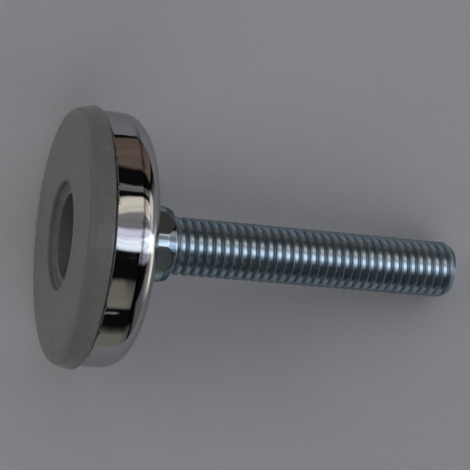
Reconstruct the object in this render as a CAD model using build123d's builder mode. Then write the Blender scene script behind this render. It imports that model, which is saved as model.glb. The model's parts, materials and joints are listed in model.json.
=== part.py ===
from build123d import *
from math import cos, radians
import os

# A rigid leveling foot, upright, with the centre of its bottom face at the origin.
# A moulded pad fills a drawn steel cap, and a threaded stud is riveted through the cap's crown.
# All lengths are millimetres and all angles are degrees.

# Drawn cap
cap_diameter = 34.2
cap_height = 6.5
cap_sheet = 1.0
cap_shoulder_radius = 3.0
cap_inner_chamfer = 1.2
cap_rim_chamfer = 0.3

# Moulded pad
pad_rim_height = 3.0
pad_overhang = 0.6
pad_side_draft = 0.75
pad_foot_rounding = 1.3
pad_rim_chamfer = 0.2
pad_hole_diameter = 11.2
pad_recess_diameter = 14.4
pad_recess_depth = 0.85

# Threaded stud, drawn plain at the thread's outside diameter
stud_diameter = 7.9
stem_length = 42.0
tip_chamfer_length = 0.9
tip_chamfer_depth = 0.55
collar_across_flats = 10.0
collar_turned_diameter = 10.7
collar_height = 5.2
collar_chamfer_length = 1.3
collar_chamfer_depth = 0.45
collar_base_chamfer = 0.3
collar_sides = 6
collar_turn = 30
neck_diameter = 6.8
rivet_head_diameter = 9.6
rivet_head_height = 1.7
rivet_chamfer_length = 1.0
rivet_chamfer_depth = 1.5

# Fits and cuts
seat_clearance = 0.05
cut_overrun = 1.0

# Radii and levels that follow from the sizes above
cap_radius = cap_diameter / 2
bore_radius = cap_radius - cap_sheet
core_radius = bore_radius - seat_clearance
pad_radius = cap_radius + pad_overhang
neck_radius = neck_diameter / 2
stud_radius = stud_diameter / 2
rivet_head_radius = rivet_head_diameter / 2
collar_corner_radius = collar_across_flats / 2 / cos(radians(180 / collar_sides))
collar_turned_radius = collar_turned_diameter / 2
crown_z = pad_rim_height + cap_height
crown_under_z = crown_z - cap_sheet
core_top_z = crown_under_z - seat_clearance
rivet_end_z = crown_under_z - rivet_head_height
collar_top_z = crown_z + collar_height
tip_z = collar_top_z + stem_length

os.makedirs("parts", exist_ok=True)

# Pad: a drafted foot with a rounded edge, and a core that fills the cap
with BuildPart() as pad:
    with BuildSketch(Plane.XZ):
        with BuildLine():
            Polyline(
                (0, 0),
                (pad_radius - pad_side_draft, 0),
                (pad_radius, pad_rim_height),
                (core_radius, pad_rim_height),
                (core_radius, core_top_z),
                (0, core_top_z),
                close=True,
            )
        make_face()
    revolve(axis=Axis.Z)
    rings = pad.edges().filter_by(GeomType.CIRCLE).group_by(Axis.Z)
    fillet(rings[0], pad_foot_rounding)
    chamfer(rings[1].sort_by(SortBy.RADIUS)[-1], pad_rim_chamfer)
    chamfer(rings[-1], cap_inner_chamfer)
    # The stepped hole below the rivet opens at the bottom face
    with Locations(-Plane.XY):
        CounterBoreHole(
            radius=pad_hole_diameter / 2,
            counter_bore_radius=pad_recess_diameter / 2,
            counter_bore_depth=pad_recess_depth,
            depth=core_top_z + cut_overrun,
        )

# Cap: a drawn cup that stands on the pad's rim, pierced for the stud's neck
with BuildPart() as cap:
    with BuildSketch(Plane.XY.offset(pad_rim_height)):
        Circle(cap_radius)
    extrude(amount=cap_height)
    fillet(cap.edges().group_by(Axis.Z)[-1], cap_shoulder_radius)
    chamfer(cap.edges().group_by(Axis.Z)[0], cap_rim_chamfer)
    # The pressed hollow keeps an even sheet round the shoulder
    with BuildSketch(Plane.XY.offset(pad_rim_height)):
        Circle(bore_radius)
    extrude(amount=cap_height - cap_sheet, mode=Mode.SUBTRACT)
    hollow_end = cap.faces().filter_by(GeomType.PLANE).sort_by(Axis.Z)[-2]
    chamfer(hollow_end.edges(), cap_inner_chamfer)
    with Locations((0, 0, crown_z)):
        Hole(radius=neck_radius + seat_clearance, depth=cap_sheet + cut_overrun)

# Stud: a hexagonal collar with turned corners, the stem above it and the rivet below
with BuildPart() as stud:
    with BuildSketch(Plane.XY.offset(crown_z)):
        RegularPolygon(
            radius=collar_corner_radius,
            side_count=collar_sides,
            rotation=collar_turn,
        )
    extrude(amount=collar_height)
    # The bar was turned before its flats were cut, so the hexagon's corners are round
    with BuildSketch(Plane.XZ):
        with BuildLine():
            Polyline(
                (0, crown_z),
                (collar_turned_radius - collar_base_chamfer, crown_z),
                (collar_turned_radius, crown_z + collar_base_chamfer),
                (collar_turned_radius, collar_top_z - collar_chamfer_length),
                (collar_turned_radius - collar_chamfer_depth, collar_top_z),
                (0, collar_top_z),
                close=True,
            )
        make_face()
    revolve(axis=Axis.Z, mode=Mode.INTERSECT)
    # Stem, neck and riveted head in one turned profile
    with BuildSketch(Plane.XZ):
        with BuildLine():
            Polyline(
                (0, rivet_end_z),
                (rivet_head_radius - rivet_chamfer_depth, rivet_end_z),
                (rivet_head_radius, rivet_end_z + rivet_chamfer_length),
                (rivet_head_radius, crown_under_z),
                (neck_radius, crown_under_z),
                (neck_radius, collar_top_z),
                (stud_radius, collar_top_z),
                (stud_radius, tip_z - tip_chamfer_length),
                (stud_radius - tip_chamfer_depth, tip_z),
                (0, tip_z),
                close=True,
            )
        make_face()
    revolve(axis=Axis.Z)

pad.part.label = "pad"
cap.part.label = "cap"
stud.part.label = "stud"
export_step(pad.part, "parts/pad.step")
export_step(cap.part, "parts/cap.step")
export_step(stud.part, "parts/stud.step")
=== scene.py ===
import json
from math import acos, atan2, cos, pi, radians, sin, tan

import bmesh
import bpy
from bpy.props import FloatProperty, FloatVectorProperty, PointerProperty
from mathutils import Matrix, Vector


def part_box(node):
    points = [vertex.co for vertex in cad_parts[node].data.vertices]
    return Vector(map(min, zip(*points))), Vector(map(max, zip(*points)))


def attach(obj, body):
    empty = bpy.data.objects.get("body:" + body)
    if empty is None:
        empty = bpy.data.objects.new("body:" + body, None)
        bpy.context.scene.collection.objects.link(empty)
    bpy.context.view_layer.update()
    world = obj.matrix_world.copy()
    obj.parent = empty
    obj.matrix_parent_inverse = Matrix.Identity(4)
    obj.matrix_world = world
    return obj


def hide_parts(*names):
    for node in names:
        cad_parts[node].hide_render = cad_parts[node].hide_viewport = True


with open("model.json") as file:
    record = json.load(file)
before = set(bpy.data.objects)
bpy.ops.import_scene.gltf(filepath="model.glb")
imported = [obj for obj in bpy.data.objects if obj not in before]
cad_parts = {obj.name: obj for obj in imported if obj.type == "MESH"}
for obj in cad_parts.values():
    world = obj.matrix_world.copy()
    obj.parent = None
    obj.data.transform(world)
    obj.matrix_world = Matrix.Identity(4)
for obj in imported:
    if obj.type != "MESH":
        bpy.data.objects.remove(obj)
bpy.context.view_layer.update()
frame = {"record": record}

bl_info = {
    "name": "Leveling Foot",
    "version": (1, 0, 0),
    "blender": (4, 5, 0),
    "location": "View3D > Sidebar > Leveling Foot",
    "description": "Dresses a rigid leveling foot: moulded pad, chromed cap and threaded stud",
    "category": "Object",
}

# All lengths are metres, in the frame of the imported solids.
MM = 0.001
PAD_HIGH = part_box("pad")[1]
CAP_LOW, CAP_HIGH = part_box("cap")
STUD_LOW, STUD_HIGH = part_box("stud")
STEM_PIN = next(mount for mount in frame["record"]["mounts"] if mount["name"] == "stud")
STEM_RADIUS = STEM_PIN["dims"]["r_mm"] * MM
STEM_LENGTH = STEM_PIN["dims"]["length_mm"] * MM
STEM_BASE = STEM_PIN["pos_m"][2] - STEM_LENGTH / 2

CAP_SHEET = 1.0 * MM
COLLAR_SIDES = 6
COLLAR_SECTOR = 2 * pi / COLLAR_SIDES
# Small edges take a part of the rounding next to them.
RIVET_EDGE_PARTS = 3
BORE_EDGE_PARTS = 4

# Mesh fineness.
STEPS_AROUND = 160
STEPS_PER_ROUNDING = 8
THREAD_STEPS_AROUND = 96
THREAD_STEPS_PER_PITCH = 16
FLAT_STEPS = 10
CORNER_STEPS = 6
# Guard loops stand this far from an edge, and the sheets this far from the foot.
GUARD = 0.05 * MM
EDGE_ANGLE = radians(42)
WELD = 0.0005 * MM
TIP_GAP = 0.01 * MM
# A row of steps has one more vertex than steps, and the half guards against rounding down.
ROW_END = 1.5


def length(name, description, default):
    """A size in metres that a user would change."""
    return FloatProperty(
        name=name, description=description, default=default, min=0.0, unit="LENGTH", precision=5
    )


def colour(name, description, default):
    """A finish colour that a user would change."""
    return FloatVectorProperty(
        name=name,
        description=description,
        default=default,
        subtype="COLOR",
        min=0.0,
        max=1.0,
        size=3,
    )


def share(name, description, default):
    """A share from 0 to 1."""
    return FloatProperty(
        name=name, description=description, default=default, min=0.0, max=1.0, subtype="FACTOR"
    )


def view_angle(name, description, degrees):
    """A camera angle in degrees that a user would change."""
    return FloatProperty(
        name=name, description=description, default=radians(degrees), subtype="ANGLE"
    )


class PadSettings(bpy.types.PropertyGroup):
    radius: length("Radius", "Outside radius at the pad's rim", 17.7 * MM)
    rim_height: length("Rim Height", "Height of the rim that the cap stands on", CAP_LOW.z)
    core_radius: length("Core Radius", "Radius of the core inside the cap", 16.05 * MM)
    core_chamfer: length("Core Chamfer", "Chamfer at the top of the core", 1.2 * MM)
    side_draft: length("Side Draft", "How far the side leans in at the foot", 0.75 * MM)
    foot_rounding: length("Foot Rounding", "Rounding from the side to the bottom face", 1.3 * MM)
    rim_rounding: length("Rim Rounding", "Rounding at the rim's outer edge", 0.25 * MM)
    hole_radius: length("Hole Radius", "Radius of the hole below the rivet", 5.6 * MM)
    recess_radius: length("Recess Radius", "Radius of the step round the hole", 7.2 * MM)
    recess_depth: length("Recess Depth", "Depth of the step round the hole", 0.85 * MM)
    hole_rounding: length("Hole Rounding", "Rounding at the edges of the stepped hole", 0.3 * MM)
    grey: colour("Grey", "Main colour of the moulded plastic", (0.232, 0.226, 0.219))
    pale: colour("Pale", "Colour of rubbed edges and light flecks", (0.30, 0.293, 0.284))
    dull: colour("Dull", "Colour of the darker flecks", (0.196, 0.190, 0.184))


class CapSettings(bpy.types.PropertyGroup):
    radius: length("Radius", "Outside radius of the drawn cap", CAP_HIGH.x)
    rim_height: length("Rim Height", "Height of the cap's open rim", CAP_LOW.z)
    crown_height: length("Crown Height", "Height of the cap's flat crown", CAP_HIGH.z)
    sheet: length("Sheet", "Thickness of the drawn sheet", CAP_SHEET)
    shoulder_radius: length("Shoulder Radius", "Outside radius of the drawn shoulder", 3.0 * MM)
    inner_rounding: length("Inner Rounding", "Rounding inside the shoulder", 1.6 * MM)
    rim_rounding: length("Rim Rounding", "Rounding at the open rim", 0.45 * MM)
    barrel: length("Barrel", "How far the middle of the wall bulges past its ends", 0.04 * MM)
    draw_line: length(
        "Draw Line", "Height of the line where the wall turns in", CAP_HIGH.z - 2.75 * MM
    )
    hole_radius: length("Hole Radius", "Radius of the hole for the stud's neck", 3.45 * MM)
    bright: colour("Bright", "Reflection colour of the clean chrome", (0.535, 0.54, 0.545))
    hazy: colour("Hazy", "Reflection colour where the chrome is handled", (0.45, 0.455, 0.46))
    # This colour is painted shade: the dark band along the open rim next to the pad, and the dark
    # line at the draw line.
    seam: colour("Seam", "Colour of the grime along the open rim", (0.06, 0.058, 0.055))


class StudSettings(bpy.types.PropertyGroup):
    pitch: length("Pitch", "Pitch of the right-hand thread", 1.25 * MM)
    groove_depth: length("Groove Depth", "Depth of the thread's groove", 0.68 * MM)
    crest_share: share("Crest Share", "Share of the pitch that the crest takes", 0.38)
    root_share: share("Root Share", "Share of the pitch that the root takes", 0.04)
    crest_height: length("Crest Height", "Height of one crest on the +X side", 17.56 * MM)
    run_out: length("Run-out", "Length over which the groove fades out at the collar", 1.5 * MM)
    tip_chamfer_length: length("Tip Chamfer Length", "Length of the chamfer at the tip", 0.9 * MM)
    tip_chamfer_depth: length("Tip Chamfer Depth", "Depth of the chamfer at the tip", 0.55 * MM)
    collar_flat: length("Collar Flat", "Distance from the axis to a flat", STUD_HIGH.x)
    collar_radius: length("Collar Radius", "Turned radius at the collar's corners", STUD_HIGH.y)
    collar_chamfer_length: length(
        "Collar Chamfer Length", "Length of the collar's upper chamfer", 1.3 * MM
    )
    collar_chamfer_depth: length(
        "Collar Chamfer Depth", "Depth of the collar's upper chamfer", 0.45 * MM
    )
    base_chamfer: length("Base Chamfer", "Chamfer of the collar's corners at the crown", 0.3 * MM)
    neck_radius: length("Neck Radius", "Radius of the neck through the crown", 3.4 * MM)
    rivet_radius: length("Rivet Radius", "Radius of the head formed under the crown", 4.8 * MM)
    rivet_rounding: length("Rivet Rounding", "Rounding of the formed head", 0.9 * MM)
    rivet_chamfer_length: length("Rivet Chamfer Length", "Length of the head's slope", 1.0 * MM)
    rivet_chamfer_depth: length("Rivet Chamfer Depth", "Depth of the head's slope", 1.5 * MM)
    zinc: colour("Zinc", "Reflection colour of the plated steel", (0.53, 0.632, 0.69))
    passivated: colour("Passivated", "Reflection colour of the bluish film", (0.43, 0.52, 0.58))
    # This colour paints shade in the groove as well as grime.
    grime_and_shade: colour("Grime", "Colour that gathers in the groove", (0.335, 0.375, 0.405))
    # This colour paints shade on the collar's flats, dimming their reflections.
    painted_flat_shade: colour("Milled", "Reflection colour of the collar's flats", (0.22, 0.29, 0.34))


class StageSettings(bpy.types.PropertyGroup):
    near_azimuth: view_angle("Near Azimuth", "Direction of the camera, round from +X", -83.0)
    camera_tilt: view_angle("Camera Tilt", "How far the sight line climbs along the stud", 18.717)
    camera_roll: view_angle("Camera Roll", "How far the stud leans down to the right", 5.334)
    camera_distance: length("Camera Distance", "Distance in front of the axis", 206.355 * MM)
    camera_drop: length("Camera Drop", "Distance below the bottom face", 45.53 * MM)
    camera_side: FloatProperty(
        name="Camera Side",
        description="Offset across the stud, towards the bottom of the picture",
        default=-2.204 * MM,
        unit="LENGTH",
        precision=5,
    )
    lens: FloatProperty(
        name="Lens", description="Focal length for a 36 mm sensor", default=121.47, unit="CAMERA"
    )
    paper: colour("Paper", "Colour of the backdrop paper", (0.60, 0.605, 0.635))
    floor: colour("Floor", "Colour of the floor under the upright foot", (0.60, 0.605, 0.635))


def new_object(name, data):
    """A new object of the data, put in the scene."""
    added = bpy.data.objects.new(name, data)
    bpy.context.scene.collection.objects.link(added)
    return added


def rounded_outline(corners):
    """Points of a closed section through (radius, height, rounding) corners."""
    points = []
    count = len(corners)
    for index, (radius, height, rounding) in enumerate(corners):
        corner = Vector((radius, height))
        to_last = Vector(corners[index - 1][:2]) - corner
        to_next = Vector(corners[(index + 1) % count][:2]) - corner
        if rounding == 0.0:
            points.append(corner)
            continue
        half = to_last.angle(to_next) / 2
        reach = rounding / tan(half)
        start = corner + to_last.normalized() * reach
        end = corner + to_next.normalized() * reach
        middle = (to_last.normalized() + to_next.normalized()).normalized()
        centre = corner + middle * (rounding / sin(half))
        first = atan2(*(start - centre).yx)
        sweep = (atan2(*(end - centre).yx) - first + pi) % (2 * pi) - pi
        points.append(start + to_last.normalized() * GUARD)
        for step in range(STEPS_PER_ROUNDING + 1):
            turn = first + sweep * step / STEPS_PER_ROUNDING
            points.append(centre + rounding * Vector((cos(turn), sin(turn))))
        points.append(end + to_next.normalized() * GUARD)
    return points


def add_ring(mesh, points):
    """New vertices at the points, in order round the axis."""
    return [mesh.verts.new(point) for point in points]


def join_rings(mesh, lower, upper):
    """Four-sided faces between two rings of the same count."""
    count = len(lower)
    for index in range(count):
        after = (index + 1) % count
        mesh.faces.new((lower[index], lower[after], upper[after], upper[index]))


def even_angles(count):
    """Angles that share one turn evenly."""
    return [2 * pi * index / count for index in range(count)]


def circle_points(radius, height, angles):
    """Points of a level circle about the axis."""
    return [Vector((radius * cos(turn), radius * sin(turn), height)) for turn in angles]


def finish_mesh(mesh, name, material):
    """A smooth closed mesh object with its edges kept crisp."""
    bmesh.ops.remove_doubles(mesh, verts=mesh.verts, dist=WELD)
    bmesh.ops.dissolve_degenerate(mesh, edges=mesh.edges, dist=WELD)
    bmesh.ops.recalc_face_normals(mesh, faces=mesh.faces)
    open_edges = [edge for edge in mesh.edges if not edge.is_manifold]
    if open_edges:
        raise RuntimeError(f"{name} has {len(open_edges)} open edges")
    for face in mesh.faces:
        face.smooth = True
    data = bpy.data.meshes.new(name)
    mesh.to_mesh(data)
    mesh.free()
    data.set_sharp_from_angle(angle=EDGE_ANGLE)
    data.materials.append(material)
    return new_object(name, data)


def turned_piece(name, corners, material):
    """A ring-shaped piece with the rounded section through the corners."""
    mesh = bmesh.new()
    angles = even_angles(STEPS_AROUND)
    rings = [
        add_ring(mesh, circle_points(point.x, point.y, angles))
        for point in rounded_outline(corners)
    ]
    for lower, upper in zip(rings, rings[1:] + rings[:1]):
        join_rings(mesh, lower, upper)
    return finish_mesh(mesh, name, material)


def set_in_frame(piece, node):
    """The piece hangs under the root body and stands in for its CAD node, which is hidden."""
    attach(piece, "root")
    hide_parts(node)


def add_node(tree, kind, inputs=None, **settings):
    """A new node with its settings, and its inputs joined to sockets or set to values."""
    node = tree.nodes.new(kind)
    for name, value in settings.items():
        setattr(node, name, value)
    for key, value in (inputs or {}).items():
        if isinstance(value, bpy.types.NodeSocket):
            tree.links.new(value, node.inputs[key])
        else:
            node.inputs[key].default_value = value
    return node


def add_math(tree, operation, *values):
    """The result of a Math node."""
    return add_node(tree, "ShaderNodeMath", dict(enumerate(values)), operation=operation).outputs[0]


def add_length(tree, first, second):
    """The length of two values at right angles."""
    square = add_math(tree, "MULTIPLY", second, second)
    return add_math(tree, "SQRT", add_math(tree, "MULTIPLY_ADD", first, first, square))


def add_range(tree, value, low, high, first, last, interpolation="LINEAR"):
    """A value brought from one range to another, clamped at both ends."""
    inputs = {"Value": value, "From Min": low, "From Max": high, "To Min": first, "To Max": last}
    node = add_node(tree, "ShaderNodeMapRange", inputs, interpolation_type=interpolation)
    return node.outputs["Result"]


def thread_tree():
    """Geometry nodes that roll a chamfered thread between two heights."""
    tree = bpy.data.node_groups.new("Rolled Thread", "GeometryNodeTree")
    lengths = (
        "Outside Radius",
        "Pitch",
        "Groove Depth",
        "Crest Height",
        "Start Height",
        "End Height",
        "Run-out",
        "Chamfer Length",
        "Chamfer Depth",
    )
    for name in lengths:
        socket = tree.interface.new_socket(name=name, in_out="INPUT", socket_type="NodeSocketFloat")
        socket.subtype = "DISTANCE"
    for name in ("Crest Share", "Root Share"):
        socket = tree.interface.new_socket(name=name, in_out="INPUT", socket_type="NodeSocketFloat")
        socket.subtype = "FACTOR"
    for name in ("Steps Around", "Steps per Pitch"):
        tree.interface.new_socket(name=name, in_out="INPUT", socket_type="NodeSocketInt")
    tree.interface.new_socket(name="Finish", in_out="INPUT", socket_type="NodeSocketMaterial")
    tree.interface.new_socket(name="Thread", in_out="OUTPUT", socket_type="NodeSocketGeometry")
    given = tree.nodes.new("NodeGroupInput").outputs
    radius, pitch, depth, crest = (given[name] for name in lengths[:4])
    start, end, run_out = (given[name] for name in lengths[4:7])

    def math(operation, *values):
        return add_math(tree, operation, *values)

    # Rows follow the helix, from a full turn below the start to a full turn past the end.
    below = math("ADD", math("CEIL", math("DIVIDE", math("SUBTRACT", crest, start), pitch)), 1.0)
    first = math("SUBTRACT", crest, math("MULTIPLY", below, pitch))
    turns = math("ADD", math("CEIL", math("DIVIDE", math("SUBTRACT", end, first), pitch)), 1.0)
    rows = math("MULTIPLY_ADD", turns, given["Steps per Pitch"], ROW_END)
    columns = math("ADD", given["Steps Around"], ROW_END)
    grid_sizes = {"Size X": 1.0, "Size Y": 1.0, "Vertices X": columns, "Vertices Y": rows}
    grid = add_node(tree, "GeometryNodeMeshGrid", grid_sizes)
    place = add_node(tree, "GeometryNodeInputPosition").outputs[0]
    across = add_node(tree, "ShaderNodeSeparateXYZ", {0: place}).outputs
    around = math("ADD", across["X"], 0.5)
    along = math("ADD", across["Y"], 0.5)
    raw_height = math("MULTIPLY_ADD", math("MULTIPLY_ADD", along, turns, around), pitch, first)
    height = math("MINIMUM", math("MAXIMUM", raw_height, start), end)

    # The groove's rounded section, faded in at the collar and cut by the tip's chamfer.
    turn = math("SUBTRACT", math("DIVIDE", math("SUBTRACT", height, crest), pitch), around)
    from_crest = math("PINGPONG", turn, 0.5)
    crest_half = math("MULTIPLY", given["Crest Share"], 0.5)
    root_start = math("MULTIPLY_ADD", given["Root Share"], -0.5, 0.5)
    groove = add_range(tree, from_crest, crest_half, root_start, 0.0, 1.0, "SMOOTHSTEP")
    fade = add_range(tree, height, start, math("ADD", start, run_out), 0.0, 1.0, "SMOOTHSTEP")
    groove = math("MULTIPLY", groove, fade)
    chamfer_start = math("SUBTRACT", end, given["Chamfer Length"])
    chamfer = add_range(tree, height, chamfer_start, end, 0.0, given["Chamfer Depth"])
    drop = math("MAXIMUM", math("MULTIPLY", groove, depth), chamfer)
    past_end = math("ADD", end, math("MULTIPLY", pitch, 0.5))
    inside = math("LESS_THAN", raw_height, past_end)
    reach = math("MULTIPLY", math("SUBTRACT", radius, drop), inside)
    angle = math("MULTIPLY", around, 2 * pi)
    spot = {
        "X": math("MULTIPLY", reach, math("COSINE", angle)),
        "Y": math("MULTIPLY", reach, math("SINE", angle)),
        "Z": height,
    }
    spot = add_node(tree, "ShaderNodeCombineXYZ", spot).outputs[0]

    # The start stays open for the collar, and the rows past the end close the tip.
    before_start = math("SUBTRACT", start, math("MULTIPLY", pitch, 0.5))
    unused = math("LESS_THAN", raw_height, before_start)
    kept = add_node(
        tree,
        "GeometryNodeDeleteGeometry",
        {"Geometry": grid.outputs["Mesh"], "Selection": unused},
    )
    marked = add_node(
        tree,
        "GeometryNodeStoreNamedAttribute",
        {"Geometry": kept.outputs[0], "Name": "groove", "Value": groove},
        data_type="FLOAT",
        domain="POINT",
    )
    rolled = add_node(
        tree, "GeometryNodeSetPosition", {"Geometry": marked.outputs[0], "Position": spot}
    )
    welded = add_node(
        tree, "GeometryNodeMergeByDistance", {"Geometry": rolled.outputs[0], "Distance": WELD}
    )
    real = add_node(tree, "GeometryNodeRealizeInstances", {"Geometry": welded.outputs[0]})
    finished = add_node(
        tree, "GeometryNodeSetMaterial", {"Geometry": real.outputs[0], "Material": given["Finish"]}
    )
    add_node(tree, "NodeGroupOutput", {"Thread": finished.outputs[0]})
    return tree


def rolled_thread(sizes, material):
    """The threaded stem as a plain mesh, open at the collar."""
    tree = thread_tree()
    values = {
        "Outside Radius": STEM_RADIUS,
        "Pitch": sizes.pitch,
        "Groove Depth": sizes.groove_depth,
        "Crest Height": sizes.crest_height,
        "Start Height": STEM_BASE,
        "End Height": STUD_HIGH.z - TIP_GAP,
        "Run-out": sizes.run_out,
        "Chamfer Length": sizes.tip_chamfer_length,
        "Chamfer Depth": sizes.tip_chamfer_depth,
        "Crest Share": sizes.crest_share,
        "Root Share": sizes.root_share,
        "Steps Around": THREAD_STEPS_AROUND,
        "Steps per Pitch": THREAD_STEPS_PER_PITCH,
        "Finish": material,
    }
    carrier = new_object("thread_carrier", bpy.data.meshes.new("thread_carrier"))
    modifier = carrier.modifiers.new("Rolled Thread", "NODES")
    modifier.node_group = tree
    for name, value in values.items():
        modifier[tree.interface.items_tree[name].identifier] = value
    graph = bpy.context.evaluated_depsgraph_get()
    thread = bpy.data.meshes.new_from_object(carrier.evaluated_get(graph))
    carrier.modifiers.remove(modifier)
    bpy.data.objects.remove(carrier)
    return thread


def collar_angles(flat_half):
    """Angles round the collar, closer together at the edges of its flats."""
    nudge = GUARD / STUD_HIGH.y
    angles = []
    for side in range(COLLAR_SIDES):
        middle = side * COLLAR_SECTOR
        low, high = middle - flat_half, middle + flat_half
        next_low = middle + COLLAR_SECTOR - flat_half
        angles.append(low)
        angles.append(low + nudge)
        angles += [low + 2 * flat_half * step / FLAT_STEPS for step in range(1, FLAT_STEPS)]
        angles.append(high - nudge)
        angles.append(high)
        angles.append(high + nudge)
        gap = next_low - high
        angles += [high + gap * step / CORNER_STEPS for step in range(1, CORNER_STEPS)]
        angles.append(next_low - nudge)
    return angles


def collar_rings(sizes):
    """Rings of points from the formed rivet's centre out and up to the collar's top face."""
    turned = sizes.collar_radius
    flat_half = acos(sizes.collar_flat / turned)
    angles = collar_angles(flat_half)
    face_radius = turned - sizes.collar_chamfer_depth
    slope = sizes.collar_chamfer_length / sizes.collar_chamfer_depth
    base_radius = turned - sizes.base_chamfer
    crown, top = CAP_HIGH.z, STEM_BASE
    under = crown - CAP_SHEET
    edge_rounding = sizes.rivet_rounding / RIVET_EDGE_PARTS
    sides = []
    for angle in angles:
        from_middle = (angle + COLLAR_SECTOR / 2) % COLLAR_SECTOR - COLLAR_SECTOR / 2
        sides.append(min(turned, sizes.collar_flat / cos(from_middle)))

    rivet = rounded_outline(
        (
            (0.0, STUD_LOW.z, 0.0),
            (sizes.rivet_radius - sizes.rivet_chamfer_depth, STUD_LOW.z, sizes.rivet_rounding),
            (sizes.rivet_radius, STUD_LOW.z + sizes.rivet_chamfer_length, edge_rounding),
            (sizes.rivet_radius, under, 0.0),
            (sizes.neck_radius, under, 0.0),
            (sizes.neck_radius, crown, 0.0),
            (0.0, crown, 0.0),
        )
    )[1:-1]
    rings = [circle_points(point.x, point.y, angles) for point in rivet]

    def ring(radii, heights):
        rings.append(
            [
                Vector((radius * cos(angle), radius * sin(angle), height))
                for angle, radius, height in zip(angles, radii, heights)
            ]
        )

    level = len(angles) * [crown]
    foot = [crown + max(0.0, side - base_radius) for side in sides]
    edge = [top - slope * (side - face_radius) for side in sides]
    ring([min(side, base_radius) - GUARD for side in sides], level)
    ring([min(side, base_radius) for side in sides], level)
    ring(sides, foot)
    ring(sides, [height + GUARD for height in foot])
    ring(sides, [height - GUARD for height in edge])
    ring(sides, edge)
    ring([side - GUARD for side in sides], [height + slope * GUARD for height in edge])
    ring(len(angles) * [face_radius + GUARD], len(angles) * [top - slope * GUARD])
    ring(len(angles) * [face_radius], len(angles) * [top])
    ring(len(angles) * [face_radius - GUARD], len(angles) * [top])
    return rings


def shader_group(name, inputs, output):
    """An empty shader node group with number inputs and one number output."""
    tree = bpy.data.node_groups.new(name, "ShaderNodeTree")
    number = "NodeSocketFloat"
    for label, default in inputs.items():
        socket = tree.interface.new_socket(name=label, in_out="INPUT", socket_type=number)
        socket.default_value = default
    tree.interface.new_socket(name=output, in_out="OUTPUT", socket_type=number)
    return tree, tree.nodes.new("NodeGroupInput").outputs


def object_place(tree):
    """The Object coordinates of the shaded point."""
    return add_node(tree, "ShaderNodeTexCoord").outputs["Object"]


# Detail and roughness of the noises that aren't plain grain.
WIDE_NOISE = (2.0, 0.5)
FINE_NOISE = (4.0, 0.6)
LINE_NOISE = (1.0, 0.4)


def noise(tree, place, scale, detail=3.0, roughness=0.55):
    """A noise value about 0.5 at a scale in bumps per metre."""
    inputs = {"Vector": place, "Scale": scale, "Detail": detail, "Roughness": roughness}
    return add_node(tree, "ShaderNodeTexNoise", inputs).outputs[0]


def grain_group():
    """Even fine grain, from 0 to 1."""
    tree, given = shader_group("Fine Grain", {"Scale": 1500.0, "Contrast": 0.25}, "Grain")
    raw = noise(tree, object_place(tree), given["Scale"])
    low = add_math(tree, "SUBTRACT", 0.5, given["Contrast"])
    high = add_math(tree, "ADD", 0.5, given["Contrast"])
    add_node(tree, "NodeGroupOutput", {"Grain": add_range(tree, raw, low, high, 0.0, 1.0)})
    return tree


# Smudges mix a wide noise with a finer one, and fade in over a band of the mix.
FINE_TIMES = 7.0
FINE_SHARE = 0.35
SMUDGE_START = 0.72
SMUDGE_DROP = 0.4
SMUDGE_FADE = 0.16


def smudge_group():
    """Soft handled patches, from 0 to 1."""
    tree, given = shader_group("Soft Smudges", {"Scale": 120.0, "Cover": 0.5}, "Smudge")
    place = object_place(tree)
    wide = noise(tree, place, given["Scale"], *WIDE_NOISE)
    fine_scale = add_math(tree, "MULTIPLY", given["Scale"], FINE_TIMES)
    fine = noise(tree, place, fine_scale, *FINE_NOISE)
    mixed = add_math(tree, "MULTIPLY", wide, 1.0 - FINE_SHARE)
    mixed = add_math(tree, "MULTIPLY_ADD", fine, FINE_SHARE, mixed)
    drop = add_math(tree, "MULTIPLY", given["Cover"], SMUDGE_DROP)
    low = add_math(tree, "SUBTRACT", SMUDGE_START, drop)
    high = add_math(tree, "ADD", low, SMUDGE_FADE)
    smudge = add_range(tree, mixed, low, high, 0.0, 1.0, "SMOOTHSTEP")
    add_node(tree, "NodeGroupOutput", {"Smudge": smudge})
    return tree


# Each set of hairlines is a noise turned by the first values and drawn out by the second.
HAIRLINE_SETS = (
    ((0.4, 0.2, 0.3), (1.0, 0.03, 0.05)),
    ((0.1, -0.5, 1.9), (0.04, 1.0, 0.03)),
)
HAIRLINE_WIDTH = 0.03
GAP_TIMES = 0.25
GAP_FADE = (0.45, 0.65)


def hairline_group():
    """Fine crossing hairlines, from 0 to 1."""
    tree, given = shader_group("Hairlines", {"Scale": 900.0, "Cover": 0.3}, "Line")
    place = object_place(tree)
    lines = None
    for lean, squeeze in HAIRLINE_SETS:
        turned = add_node(
            tree, "ShaderNodeMapping", {"Vector": place, "Rotation": lean, "Scale": squeeze}
        ).outputs[0]
        raw = noise(tree, turned, given["Scale"], *LINE_NOISE)
        from_middle = add_math(tree, "ABSOLUTE", add_math(tree, "SUBTRACT", raw, 0.5))
        width = add_math(tree, "MULTIPLY", given["Cover"], HAIRLINE_WIDTH)
        line = add_range(tree, from_middle, 0.0, width, 1.0, 0.0)
        lines = line if lines is None else add_math(tree, "MAXIMUM", lines, line)
    gap_scale = add_math(tree, "MULTIPLY", given["Scale"], GAP_TIMES)
    gaps = noise(tree, place, gap_scale, *WIDE_NOISE)
    lines = add_math(tree, "MULTIPLY", lines, add_range(tree, gaps, *GAP_FADE, 0.0, 1.0))
    add_node(tree, "NodeGroupOutput", {"Line": lines})
    return tree


# A noise breaks up the band of wear and painted shade: its range is brought to a factor on the
# distance from the edge.
RAGGED_SCALE = 1400.0
RAGGED_RANGE = (0.3, 0.7, 0.4, 1.6)


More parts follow.
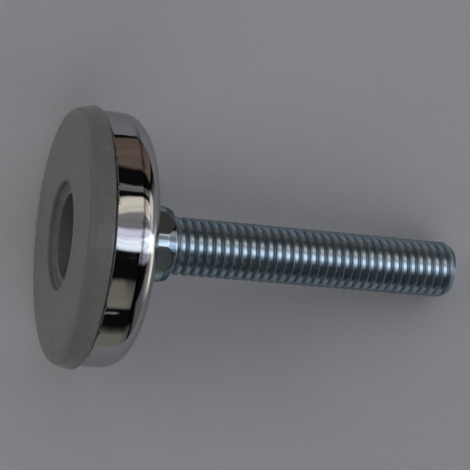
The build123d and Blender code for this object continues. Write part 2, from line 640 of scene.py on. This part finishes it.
def edge_wear_and_shade_group():
    """A broken band along one turned edge, from 0 to 1, for wear and for painted shade."""
    inputs = {"Edge Radius": 0.01, "Edge Height": 0.0, "Width": 0.0005}
    tree, given = shader_group("Edge Wear and Shade", inputs, "Wear and Shade")
    place = object_place(tree)
    across = add_node(tree, "ShaderNodeSeparateXYZ", {0: place}).outputs
    radius = add_length(tree, across["X"], across["Y"])
    out = add_math(tree, "SUBTRACT", radius, given["Edge Radius"])
    up = add_math(tree, "SUBTRACT", across["Z"], given["Edge Height"])
    gap = add_length(tree, out, up)
    ragged = add_range(tree, noise(tree, place, RAGGED_SCALE, *FINE_NOISE), *RAGGED_RANGE)
    gap = add_math(tree, "MULTIPLY", gap, ragged)
    rub = add_range(tree, gap, 0.0, given["Width"], 1.0, 0.0, "SMOOTHSTEP")
    add_node(tree, "NodeGroupOutput", {"Wear and Shade": rub})
    return tree


def placed_group(tree, group, output, values):
    """The output of a node group placed in a material with its own values."""
    node = tree.nodes.new("ShaderNodeGroup")
    node.node_tree = group
    for name, value in values.items():
        node.inputs[name].default_value = value
    return node.outputs[output]


def mix_colours(tree, factor, first, second):
    """One colour turning into another by a factor."""
    node = tree.nodes.new("ShaderNodeMix")
    node.data_type = "RGBA"
    for index, value in ((0, factor), (6, first), (7, second)):
        if isinstance(value, bpy.types.NodeSocket):
            tree.links.new(value, node.inputs[index])
        else:
            node.inputs[index].default_value = (*value, 1.0)
    return node.outputs[2]


def add_bump(tree, height, distance):
    """A normal roughened by a height."""
    return add_node(tree, "ShaderNodeBump", {"Height": height, "Distance": distance}).outputs[0]


def new_material(name):
    """An empty material with a Principled shader and its output."""
    material = bpy.data.materials.new(name)
    material.use_nodes = True
    tree = material.node_tree
    tree.nodes.clear()
    shader = tree.nodes.new("ShaderNodeBsdfPrincipled")
    output = tree.nodes.new("ShaderNodeOutputMaterial")
    tree.links.new(shader.outputs[0], output.inputs[0])
    return material, tree, shader


def effect(name, build):
    """A shared shader node group, built on its first use."""
    return bpy.data.node_groups.get(name) or build()


def fine_grain(tree, scale, contrast):
    """Even grain placed in a material."""
    values = {"Scale": scale, "Contrast": contrast}
    return placed_group(tree, effect("Fine Grain", grain_group), "Grain", values)


def soft_smudges(tree, scale, cover):
    """Handled patches placed in a material."""
    values = {"Scale": scale, "Cover": cover}
    return placed_group(tree, effect("Soft Smudges", smudge_group), "Smudge", values)


def hairlines(tree, scale, cover):
    """Crossing hairlines placed in a material."""
    values = {"Scale": scale, "Cover": cover}
    return placed_group(tree, effect("Hairlines", hairline_group), "Line", values)


def edge_wear_and_shade(tree, radius, height, width):
    """A band along one turned edge, for wear and for painted shade, placed in a material."""
    values = {"Edge Radius": radius, "Edge Height": height, "Width": width}
    return placed_group(tree, effect("Edge Wear and Shade", edge_wear_and_shade_group), "Wear and Shade", values)


def layered(tree, value, *layers):
    """A value to which each mask adds its amount."""
    for mask, amount in layers:
        value = add_math(tree, "MULTIPLY_ADD", mask, amount, value)
    return value


# Each pair is a scale in bumps per metre, with a contrast or a cover.
PAD_FLECKS = (700.0, 0.22)
PAD_SKIN = (4200.0, 0.3)
PAD_SMUDGES = (110.0, 0.55)
PAD_HAIRLINES = (420.0, 0.35)
PAD_RUB_INSET = 1.1 * MM
PAD_RUB_HEIGHT = 0.25 * MM
PAD_RUB_WIDTH = 0.55 * MM
PAD_SMUDGE_SHARE = 0.22
PAD_RUB_SHARE = 0.45
PAD_LINE_SHARE = 0.25
PAD_SPECULAR = 0.4
PAD_ROUGHNESS = 0.22
PAD_MARK_ROUGHNESS = 0.06
PAD_LINE_DEPTH = 0.5
PAD_RELIEF = 0.006 * MM


def pad_plastic(sizes):
    """Grey moulded plastic with a satin skin, light flecks and a rubbed foot."""
    material, tree, shader = new_material("pad_plastic")
    flecks = fine_grain(tree, *PAD_FLECKS)
    skin = fine_grain(tree, *PAD_SKIN)
    smudge = soft_smudges(tree, *PAD_SMUDGES)
    line = hairlines(tree, *PAD_HAIRLINES)
    rub = edge_wear_and_shade(tree, sizes.radius - PAD_RUB_INSET, PAD_RUB_HEIGHT, PAD_RUB_WIDTH)
    smudged = add_math(tree, "MULTIPLY", smudge, PAD_SMUDGE_SHARE)
    rubbed = add_math(tree, "MULTIPLY", rub, PAD_RUB_SHARE)
    lined = add_math(tree, "MULTIPLY", line, PAD_LINE_SHARE)
    base = mix_colours(tree, flecks, sizes.dull, sizes.grey)
    base = mix_colours(tree, smudged, base, sizes.pale)
    base = mix_colours(tree, add_math(tree, "MAXIMUM", rubbed, lined), base, sizes.pale)
    tree.links.new(base, shader.inputs["Base Color"])
    shader.inputs["Specular IOR Level"].default_value = PAD_SPECULAR
    marks = ((skin, PAD_MARK_ROUGHNESS), (smudge, PAD_MARK_ROUGHNESS))
    tree.links.new(layered(tree, PAD_ROUGHNESS, *marks), shader.inputs["Roughness"])
    relief = layered(tree, skin, (line, -PAD_LINE_DEPTH))
    tree.links.new(add_bump(tree, relief, PAD_RELIEF), shader.inputs["Normal"])
    return material


CAP_SMUDGES = (160.0, 0.45)
CAP_HAIRLINES = (700.0, 0.25)
CAP_EDGE_TINT = (0.75, 0.75, 0.76, 1.0)
CAP_SEAM_WIDTH = 0.52 * MM
CAP_HAZE_SHARE = 0.35
CAP_ROUGHNESS = 0.03
CAP_SMUDGE_ROUGHNESS = 0.035
CAP_SEAM_ROUGHNESS = 0.3
CAP_LINE_ROUGHNESS = 0.10
CAP_LINE_DEPTH = 0.001
CAP_RELIEF = 0.3 * MM
# The drawn sheet is wavy on the wall and calm on the crown.
WAVE_SCALE = 190.0
CROWN_WAVES = 0.15
# The painted shade line at the draw line is clear on the -Y side, which faces the camera, and fades
# out between two shares of the radius.
SHADE_LINE_WIDTH = 0.34 * MM
SHADE_LINE_SHARE = 0.75
SHADE_LINE_CLEAR = -0.72
SHADE_LINE_GONE = -0.52


def cap_chrome(sizes):
    """Bright chrome plate with faint handling marks, painted shade along the open rim and a painted
    shade line at the draw line.
    """
    material, tree, shader = new_material("cap_chrome")
    shader.inputs["Metallic"].default_value = 1.0
    shader.inputs["Specular Tint"].default_value = CAP_EDGE_TINT
    smudge = soft_smudges(tree, *CAP_SMUDGES)
    line = hairlines(tree, *CAP_HAIRLINES)
    place = object_place(tree)
    spot = add_node(tree, "ShaderNodeSeparateXYZ", {0: place}).outputs
    wave = add_math(tree, "SUBTRACT", noise(tree, place, WAVE_SCALE, detail=0.0), 0.5)
    calm = add_range(tree, spot["Z"], sizes.draw_line, sizes.crown_height, 1.0, CROWN_WAVES)
    wave = add_math(tree, "MULTIPLY", wave, calm)
    # Painted shade: a dark band along the cap's open rim stands in for the shadow in the gap to the
    # pad.
    seam = edge_wear_and_shade(tree, sizes.radius, sizes.rim_height, CAP_SEAM_WIDTH)
    # Painted shade: a dark line along the draw line, on the camera's side only.
    drawn = edge_wear_and_shade(tree, sizes.radius, sizes.draw_line, SHADE_LINE_WIDTH)
    clear, gone = SHADE_LINE_CLEAR * sizes.radius, SHADE_LINE_GONE * sizes.radius
    shade_line_side = add_range(tree, spot["Y"], clear, gone, SHADE_LINE_SHARE, 0.0)
    drawn = add_math(tree, "MULTIPLY", drawn, shade_line_side)
    hazed = add_math(tree, "MULTIPLY", smudge, CAP_HAZE_SHARE)
    base = mix_colours(tree, hazed, sizes.bright, sizes.hazy)
    base = mix_colours(tree, drawn, base, sizes.seam)
    tree.links.new(mix_colours(tree, seam, base, sizes.seam), shader.inputs["Base Color"])
    marks = (
        (smudge, CAP_SMUDGE_ROUGHNESS),
        (seam, CAP_SEAM_ROUGHNESS),
        (line, CAP_LINE_ROUGHNESS),
    )
    tree.links.new(layered(tree, CAP_ROUGHNESS, *marks), shader.inputs["Roughness"])
    relief = layered(tree, wave, (line, -CAP_LINE_DEPTH))
    tree.links.new(add_bump(tree, relief, CAP_RELIEF), shader.inputs["Normal"])
    return material


STUD_FILM = (420.0, 0.2)
STUD_SKIN = (1400.0, 0.3)
STUD_HAIRLINES = (1100.0, 0.4)
STUD_EDGE_TINT = (0.42, 0.45, 0.475, 1.0)
TIP_RUB_INSET = 0.3 * MM
TIP_RUB_DROP = 0.4 * MM
TIP_RUB_WIDTH = 0.7 * MM
TIP_RUB_SHARE = 0.4
GRIME_AND_SHADE_START = 0.45
GRIME_AND_SHADE_SHARE = 0.45
# The painted shade on the collar's flats ends just inside its turned corners.
FLAT_FULL_INSET = 0.10 * MM
FLAT_END_INSET = 0.02 * MM
STUD_ROUGHNESS = 0.23
STUD_SKIN_ROUGHNESS = 0.04
GRIME_ROUGHNESS = 0.2
COLLAR_SMOOTHNESS = 0.13
STUD_RELIEF = 0.0004 * MM


def stud_zinc(sizes):
    """Zinc plate with a bluish film, dull in the groove, with grime and painted shade in the groove
    and painted shade on the collar's flats.
    """
    material, tree, shader = new_material("stud_zinc")
    shader.inputs["Metallic"].default_value = 1.0
    shader.inputs["Specular Tint"].default_value = STUD_EDGE_TINT
    film = fine_grain(tree, *STUD_FILM)
    skin = fine_grain(tree, *STUD_SKIN)
    line = hairlines(tree, *STUD_HAIRLINES)
    rub = edge_wear_and_shade(tree, STEM_RADIUS - TIP_RUB_INSET, STUD_HIGH.z - TIP_RUB_DROP, TIP_RUB_WIDTH)
    groove = add_node(tree, "ShaderNodeAttribute", attribute_name="groove").outputs["Fac"]
    # Painted shade: the groove's depth darkens the colour towards the root, for shade as well as
    # grime.
    grime_and_shade = add_range(tree, groove, GRIME_AND_SHADE_START, 1.0, 0.0, GRIME_AND_SHADE_SHARE, "SMOOTHSTEP")
    spot = add_node(tree, "ShaderNodeSeparateXYZ", {0: object_place(tree)}).outputs
    collar = add_range(tree, spot["Z"], STEM_BASE - GUARD, STEM_BASE, 1.0, 0.0)
    radius = add_length(tree, spot["X"], spot["Y"])
    flat_full = sizes.collar_radius - FLAT_FULL_INSET
    flat_end = sizes.collar_radius - FLAT_END_INSET
    flat = add_range(tree, radius, flat_full, flat_end, 1.0, 0.0)
    # Painted shade: the collar's flats are darkened, while the turned corners keep their bright
    # highlight.
    painted_flat_shade = add_math(tree, "MULTIPLY", collar, flat)
    rubbed = add_math(tree, "MULTIPLY", rub, TIP_RUB_SHARE)
    base = mix_colours(tree, film, sizes.passivated, sizes.zinc)
    base = mix_colours(tree, rubbed, base, sizes.zinc)
    base = mix_colours(tree, grime_and_shade, base, sizes.grime_and_shade)
    tree.links.new(mix_colours(tree, painted_flat_shade, base, sizes.painted_flat_shade), shader.inputs["Base Color"])
    marks = (
        (skin, STUD_SKIN_ROUGHNESS),
        (grime_and_shade, GRIME_ROUGHNESS),
        (collar, -COLLAR_SMOOTHNESS),
    )
    tree.links.new(layered(tree, STUD_ROUGHNESS, *marks), shader.inputs["Roughness"])
    relief = add_math(tree, "SUBTRACT", skin, line)
    tree.links.new(add_bump(tree, relief, STUD_RELIEF), shader.inputs["Normal"])
    return material


class FOOT_OT_pad(bpy.types.Operator):
    """Moulds the grey pad with its stepped hole"""

    bl_idname = "leveling_foot.pad"
    bl_label = "Pad"

    def execute(self, context):
        sizes = context.scene.foot_pad
        corners = (
            (sizes.recess_radius, 0.0, sizes.hole_rounding),
            (sizes.radius - sizes.side_draft, 0.0, sizes.foot_rounding),
            (sizes.radius, sizes.rim_height, sizes.rim_rounding),
            (sizes.core_radius, sizes.rim_height, 0.0),
            (sizes.core_radius, PAD_HIGH.z - sizes.core_chamfer, 0.0),
            (sizes.core_radius - sizes.core_chamfer, PAD_HIGH.z, 0.0),
            (sizes.hole_radius, PAD_HIGH.z, 0.0),
            (sizes.hole_radius, sizes.recess_depth, sizes.hole_rounding),
            (sizes.recess_radius, sizes.recess_depth, sizes.hole_rounding),
        )
        pad = turned_piece("pad_moulding", corners, pad_plastic(sizes))
        set_in_frame(pad, "pad")
        return {"FINISHED"}


class FOOT_OT_cap(bpy.types.Operator):
    """Draws the chromed cap over the pad's core"""

    bl_idname = "leveling_foot.cap"
    bl_label = "Cap"

    def execute(self, context):
        sizes = context.scene.foot_cap
        bore = sizes.radius - sizes.sheet
        under = sizes.crown_height - sizes.sheet
        wall_end = sizes.crown_height - sizes.shoulder_radius
        wall_middle = (sizes.rim_height + sizes.rim_rounding + wall_end) / 2
        wall_half = wall_end - wall_middle
        end_radius = sizes.radius - sizes.barrel
        corners = (
            (bore, sizes.rim_height, sizes.rim_rounding / BORE_EDGE_PARTS),
            (end_radius, sizes.rim_height, sizes.rim_rounding),
            (sizes.radius, wall_middle, wall_half**2 / (2 * sizes.barrel)),
            (end_radius, sizes.crown_height, sizes.shoulder_radius),
            (sizes.hole_radius, sizes.crown_height, 0.0),
            (sizes.hole_radius, under, 0.0),
            (bore, under, sizes.inner_rounding),
        )
        cap = turned_piece("cap_shell", corners, cap_chrome(sizes))
        set_in_frame(cap, "cap")
        return {"FINISHED"}


class FOOT_OT_stud(bpy.types.Operator):
    """Rolls the thread and joins it to the hexagonal collar and the formed rivet"""

    bl_idname = "leveling_foot.stud"
    bl_label = "Stud"

    def execute(self, context):
        sizes = context.scene.foot_stud
        material = stud_zinc(sizes)
        mesh = bmesh.new()
        mesh.from_mesh(rolled_thread(sizes, material))
        thread_start = [edge for edge in mesh.edges if edge.is_boundary]
        rings = [add_ring(mesh, points) for points in collar_rings(sizes)]
        for lower, upper in zip(rings, rings[1:]):
            join_rings(mesh, lower, upper)
        centre = mesh.verts.new((0.0, 0.0, STUD_LOW.z))
        for first, second in zip(rings[0], rings[0][1:] + rings[0][:1]):
            mesh.faces.new((centre, second, first))
        collar_top = [
            mesh.edges.get(pair) for pair in zip(rings[-1], rings[-1][1:] + rings[-1][:1])
        ]
        bmesh.ops.bridge_loops(mesh, edges=thread_start + collar_top)
        stud = finish_mesh(mesh, "stud_threaded", material)
        set_in_frame(stud, "stud")
        return {"FINISHED"}


class Picture:
    """Directions of the lying foot as the camera sees it."""

    def __init__(self, settings):
        azimuth = settings.near_azimuth
        self.near = Vector((cos(azimuth), sin(azimuth), 0.0))
        self.side = Vector((-sin(azimuth), cos(azimuth), 0.0))
        self.axis = Vector((0.0, 0.0, 1.0))

    def outlook(self, azimuth, elevation):
        """Axes of a card: round the foot, up towards the stud's tip, and out from the foot."""
        turn, rise = radians(azimuth), radians(elevation)
        level = self.near * cos(turn) + self.side * sin(turn)
        around = self.side * cos(turn) - self.near * sin(turn)
        out = level * cos(rise) + self.axis * sin(rise)
        up = self.axis * cos(rise) - level * sin(rise)
        return around, up, out


SENSOR_WIDTH = 36.0
CLIP_START = 10.0 * MM


def add_camera(settings, picture):
    """The camera at the photograph's viewing angle."""
    tilt, roll = settings.camera_tilt, settings.camera_roll
    sight = -picture.near * cos(tilt) + picture.axis * sin(tilt)
    along = picture.axis * cos(tilt) + picture.near * sin(tilt)
    right = along * cos(roll) - picture.side * sin(roll)
    down = along * sin(roll) + picture.side * cos(roll)
    data = bpy.data.cameras.new("picture_camera")
    data.sensor_width = SENSOR_WIDTH
    data.lens = settings.lens
    data.clip_start = CLIP_START
    camera = new_object("picture_camera", data)
    turn = Matrix((right, -down, -sight)).transposed().to_4x4()
    place = (
        picture.near * settings.camera_distance
        - picture.axis * settings.camera_drop
        + picture.side * settings.camera_side
    )
    camera.matrix_world = Matrix.Translation(place) @ turn
    bpy.context.scene.camera = camera


# Lights face the foot: name, azimuth, elevation, width and height in degrees, tint and radiance.
# Azimuth 0 is the camera's side, and elevation rises towards the stud's tip.
LIGHT_DISTANCE = 0.5
LIGHT_TARGET = Vector((0.0, 0.0, 6.0 * MM))
SOFTBOXES = (
    ("key_softbox", -42.0, 0.0, 66.0, 66.0, (0.97, 0.98, 1.0), 0.57),
    ("front_fill", 44.0, 6.0, 66.0, 66.0, (0.98, 0.98, 1.0), 0.62),
    ("left_fill", -30.0, -66.0, 46.0, 46.0, (1.0, 0.98, 0.95), 0.98),
)

# Cards show only in the metal. The number before the tint is the width of a card's soft edge,
# in degrees.
CREAM = (1.0, 0.93, 0.79)
MAUVE = (1.0, 0.94, 0.97)
BROWN = (1.0, 0.74, 0.58)
OLIVE = (1.0, 1.0, 0.86)
SKY = (0.88, 0.95, 1.07)
VIOLET = (0.95, 0.95, 1.14)
REFLECTIONS = (
    ("sky_card", 1.5, 33.0, 20.0, 106.0, 5.0, SKY, 1.50),
    ("violet_card", -10.5, 33.0, 12.0, 106.0, 3.0, VIOLET, 0.95),
    ("violet_side_card", 17.0, 45.0, 14.0, 52.0, 4.0, VIOLET, 0.42),
    ("mauve_card", -22.0, 26.0, 15.0, 92.0, 3.0, MAUVE, 0.27),
    ("mauve_upper_card", -30.0, 58.0, 20.0, 32.0, 8.0, MAUVE, 0.24),
    ("cream_card", -33.0, 15.0, 15.0, 70.0, 3.0, CREAM, 0.84),
    ("cream_upper_card", -47.0, 55.0, 20.0, 24.0, 6.0, CREAM, 0.75),
    ("pale_card", -48.5, 12.0, 8.5, 62.0, 2.5, MAUVE, 0.20),
    ("brown_card", -85.5, 14.0, 36.0, 66.0, 4.0, BROWN, 0.15),
    ("beige_card", 48.0, 1.0, 27.0, 40.0, 6.0, CREAM, 0.23),
    ("small_card", 66.0, 8.0, 5.0, 14.0, 2.4, SKY, 0.32),
    ("grey_card", 101.0, 6.0, 42.0, 52.0, 8.0, OLIVE, 0.19),
    ("grey_upper_card", 80.0, 51.0, 54.0, 36.0, 9.0, MAUVE, 0.13),
    ("pale_end_card", 105.0, 82.0, 40.0, 40.0, 13.0, OLIVE, 0.95),
    ("grey_end_card", 0.0, 90.0, 76.0, 76.0, 22.0, MAUVE, 0.24),
)
UNEVENNESS = 0.4
CLOUD_SCALE = 3.0
CLOUD_DETAIL = 2.0
CLOUD_RANGE = (0.3, 0.7)


def soften_card(data, spans, soft_edge, seed):
    """Fades a light out towards its edges and makes it a little uneven."""
    data.use_nodes = True
    tree = data.node_tree
    place = add_node(tree, "ShaderNodeNewGeometry").outputs["Parametric"]
    across = add_node(tree, "ShaderNodeSeparateXYZ", {0: place}).outputs
    cloud = add_node(
        tree,
        "ShaderNodeTexNoise",
        {"Vector": place, "W": seed, "Scale": CLOUD_SCALE, "Detail": CLOUD_DETAIL},
        noise_dimensions="4D",
    ).outputs[0]
    low, high = 1.0 - UNEVENNESS / 2, 1.0 + UNEVENNESS / 2
    strength = add_range(tree, cloud, *CLOUD_RANGE, low, high)
    for direction, span in zip(("X", "Y"), spans):
        from_edge = add_math(tree, "PINGPONG", across[direction], 0.5)
        fade = add_range(tree, from_edge, 0.0, soft_edge / span, 0.0, 1.0, "SMOOTHSTEP")
        strength = add_math(tree, "MULTIPLY", strength, fade)
    tree.links.new(strength, tree.nodes["Emission"].inputs["Strength"])


def add_card(picture, name, azimuth, elevation, width, height, tint, radiance):
    """A rectangular light that fills a patch of directions round the foot."""
    around, up, out = picture.outlook(azimuth, elevation)
    data = bpy.data.lights.new(name, "AREA")
    data.shape = "RECTANGLE"
    data.size = 2 * LIGHT_DISTANCE * tan(radians(width) / 2)
    data.size_y = 2 * LIGHT_DISTANCE * tan(radians(height) / 2)
    data.color = tint
    data.energy = pi * data.size * data.size_y * radiance
    card = new_object(name, data)
    turn = Matrix((around, up, out)).transposed().to_4x4()
    card.matrix_world = Matrix.Translation(LIGHT_TARGET + out * LIGHT_DISTANCE) @ turn
    card.visible_camera = False
    return card


def one_sided(tree, shader, hide=None):
    """Leaves a surface clear from behind, and where hide says."""
    output = tree.nodes["Material Output"]
    clear = tree.nodes.new("ShaderNodeBsdfTransparent")
    behind = add_node(tree, "ShaderNodeNewGeometry").outputs["Backfacing"]
    if hide is not None:
        behind = add_math(tree, "MAXIMUM", behind, hide)
    shaders = {0: behind, 1: shader.outputs[0], 2: clear.outputs[0]}
    mixed = add_node(tree, "ShaderNodeMixShader", shaders)
    tree.links.new(mixed.outputs[0], output.inputs[0])


PAPER_TOOTH = (900.0, 0.3)
PAPER_CLOUD = (60.0, 0.3)
PAPER_MOTTLE = 0.04
PAPER_ROUGHNESS = 0.85
PAPER_SPECULAR = 0.2
PAPER_RELIEF = 0.01 * MM


def paper_material(name, tint):
    """Plain pale paper with a faint tooth."""
    material, tree, shader = new_material(name)
    tooth = fine_grain(tree, *PAPER_TOOTH)
    cloud = fine_grain(tree, *PAPER_CLOUD)
    shade = add_math(tree, "MULTIPLY_ADD", cloud, 0.5, add_math(tree, "MULTIPLY", tooth, 0.5))
    low = tuple((1.0 - PAPER_MOTTLE) * value for value in tint)
    high = tuple(min(1.0, (1.0 + PAPER_MOTTLE) * value) for value in tint)
    tree.links.new(mix_colours(tree, shade, low, high), shader.inputs["Base Color"])
    shader.inputs["Roughness"].default_value = PAPER_ROUGHNESS
    shader.inputs["Specular IOR Level"].default_value = PAPER_SPECULAR
    tree.links.new(add_bump(tree, tooth, PAPER_RELIEF), shader.inputs["Normal"])
    return material, tree, shader


def add_sheet(name, centre, normal, half, material):
    """A flat square sheet that looks along its normal."""
    first = normal.orthogonal().normalized()
    second = normal.cross(first)
    signs = ((-1, -1), (1, -1), (1, 1), (-1, 1))
    corners = [centre + half * (a * first + b * second) for a, b in signs]
    data = bpy.data.meshes.new(name)
    data.from_pydata(corners, [], [(0, 1, 2, 3)])
    data.materials.append(material)
    sheet = new_object(name, data)
    return sheet


SHEET_HALF = 0.6
PAPER_REACH = 78.0 * MM
FLOOR_CLEARANCE = 5.0 * MM


def add_sheets(settings, picture, pad_radius, pad_rim):
    """Backdrop paper under the lying foot, and a floor for the views of it upright."""
    lean = atan2(pad_radius - STEM_RADIUS, STEM_BASE + STEM_LENGTH - pad_rim)
    normal = picture.near * cos(lean) - picture.axis * sin(lean)
    touch = -picture.near * pad_radius + picture.axis * pad_rim - normal * GUARD
    material, tree, shader = paper_material("backdrop_paper", settings.paper)
    ray = add_node(tree, "ShaderNodeLightPath").outputs
    far = add_math(tree, "GREATER_THAN", ray["Ray Length"], PAPER_REACH)
    one_sided(tree, shader, add_math(tree, "MULTIPLY", far, ray["Is Glossy Ray"]))
    add_sheet("backdrop_sheet", touch, normal, SHEET_HALF, material)

    material, tree, shader = paper_material("floor_paper", settings.floor)
    ray = add_node(tree, "ShaderNodeLightPath").outputs
    short = add_math(tree, "LESS_THAN", ray["Ray Length"], FLOOR_CLEARANCE)
    one_sided(tree, shader, add_math(tree, "MULTIPLY", short, ray["Is Glossy Ray"]))
    floor = add_sheet("floor_sheet", Vector((0.0, 0.0, -GUARD)), picture.axis, SHEET_HALF, material)
    floor.visible_diffuse = False
    floor.visible_shadow = False
    floor.visible_transmission = False


WORLD_GLOW = (0.005, 0.005, 0.0055)
WORLD_BACKGROUND = (0.30, 0.30, 0.31)


def set_world():
    """Dim surroundings, pale where the camera looks past the sheets."""
    world = bpy.data.worlds.new("studio_surroundings")
    world.use_nodes = True
    tree = world.node_tree
    tree.nodes.clear()
    seen = add_node(tree, "ShaderNodeLightPath").outputs["Is Camera Ray"]
    tint = mix_colours(tree, seen, WORLD_GLOW, WORLD_BACKGROUND)
    background = add_node(tree, "ShaderNodeBackground", {"Color": tint})
    add_node(tree, "ShaderNodeOutputWorld", {"Surface": background.outputs[0]})
    bpy.context.scene.world = world


class FOOT_OT_stage(bpy.types.Operator):
    """Sets the paper, the studio lights and the camera"""

    bl_idname = "leveling_foot.stage"
    bl_label = "Stage"

    def execute(self, context):
        scene = context.scene
        settings = scene.foot_stage
        picture = Picture(settings)
        scene.view_settings.view_transform = "Standard"
        set_world()
        add_camera(settings, picture)
        add_sheets(settings, picture, scene.foot_pad.radius, scene.foot_pad.rim_height)
        for softbox in SOFTBOXES:
            add_card(picture, *softbox).visible_glossy = False
        for seed, (*spread, soft_edge, tint, radiance) in enumerate(REFLECTIONS):
            card = add_card(picture, *spread, tint, radiance)
            card.visible_diffuse = False
            soften_card(card.data, spread[-2:], soft_edge, seed)
        return {"FINISHED"}


class FOOT_PT_panel(bpy.types.Panel):
    """Lists the steps that dress the foot"""

    bl_idname = "FOOT_PT_panel"
    bl_label = "Leveling Foot"
    bl_space_type = "VIEW_3D"
    bl_region_type = "UI"
    bl_category = "Leveling Foot"

    def draw(self, context):
        for step in STEPS:
            self.layout.operator(step.bl_idname)


STEPS = (FOOT_OT_pad, FOOT_OT_cap, FOOT_OT_stud, FOOT_OT_stage)
SETTINGS = {
    "foot_pad": PadSettings,
    "foot_cap": CapSettings,
    "foot_stud": StudSettings,
    "foot_stage": StageSettings,
}


def register():
    for name, group in SETTINGS.items():
        bpy.utils.register_class(group)
        setattr(bpy.types.Scene, name, PointerProperty(type=group))
    for step in STEPS:
        bpy.utils.register_class(step)
    bpy.utils.register_class(FOOT_PT_panel)


def unregister():
    bpy.utils.unregister_class(FOOT_PT_panel)
    for step in reversed(STEPS):
        bpy.utils.unregister_class(step)
    for name, group in reversed(SETTINGS.items()):
        delattr(bpy.types.Scene, name)
        bpy.utils.unregister_class(group)


def main():
    """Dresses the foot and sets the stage."""
    register()
    bpy.ops.leveling_foot.pad()
    bpy.ops.leveling_foot.cap()
    bpy.ops.leveling_foot.stud()
    bpy.ops.leveling_foot.stage()


if __name__ == "__main__":
    main()
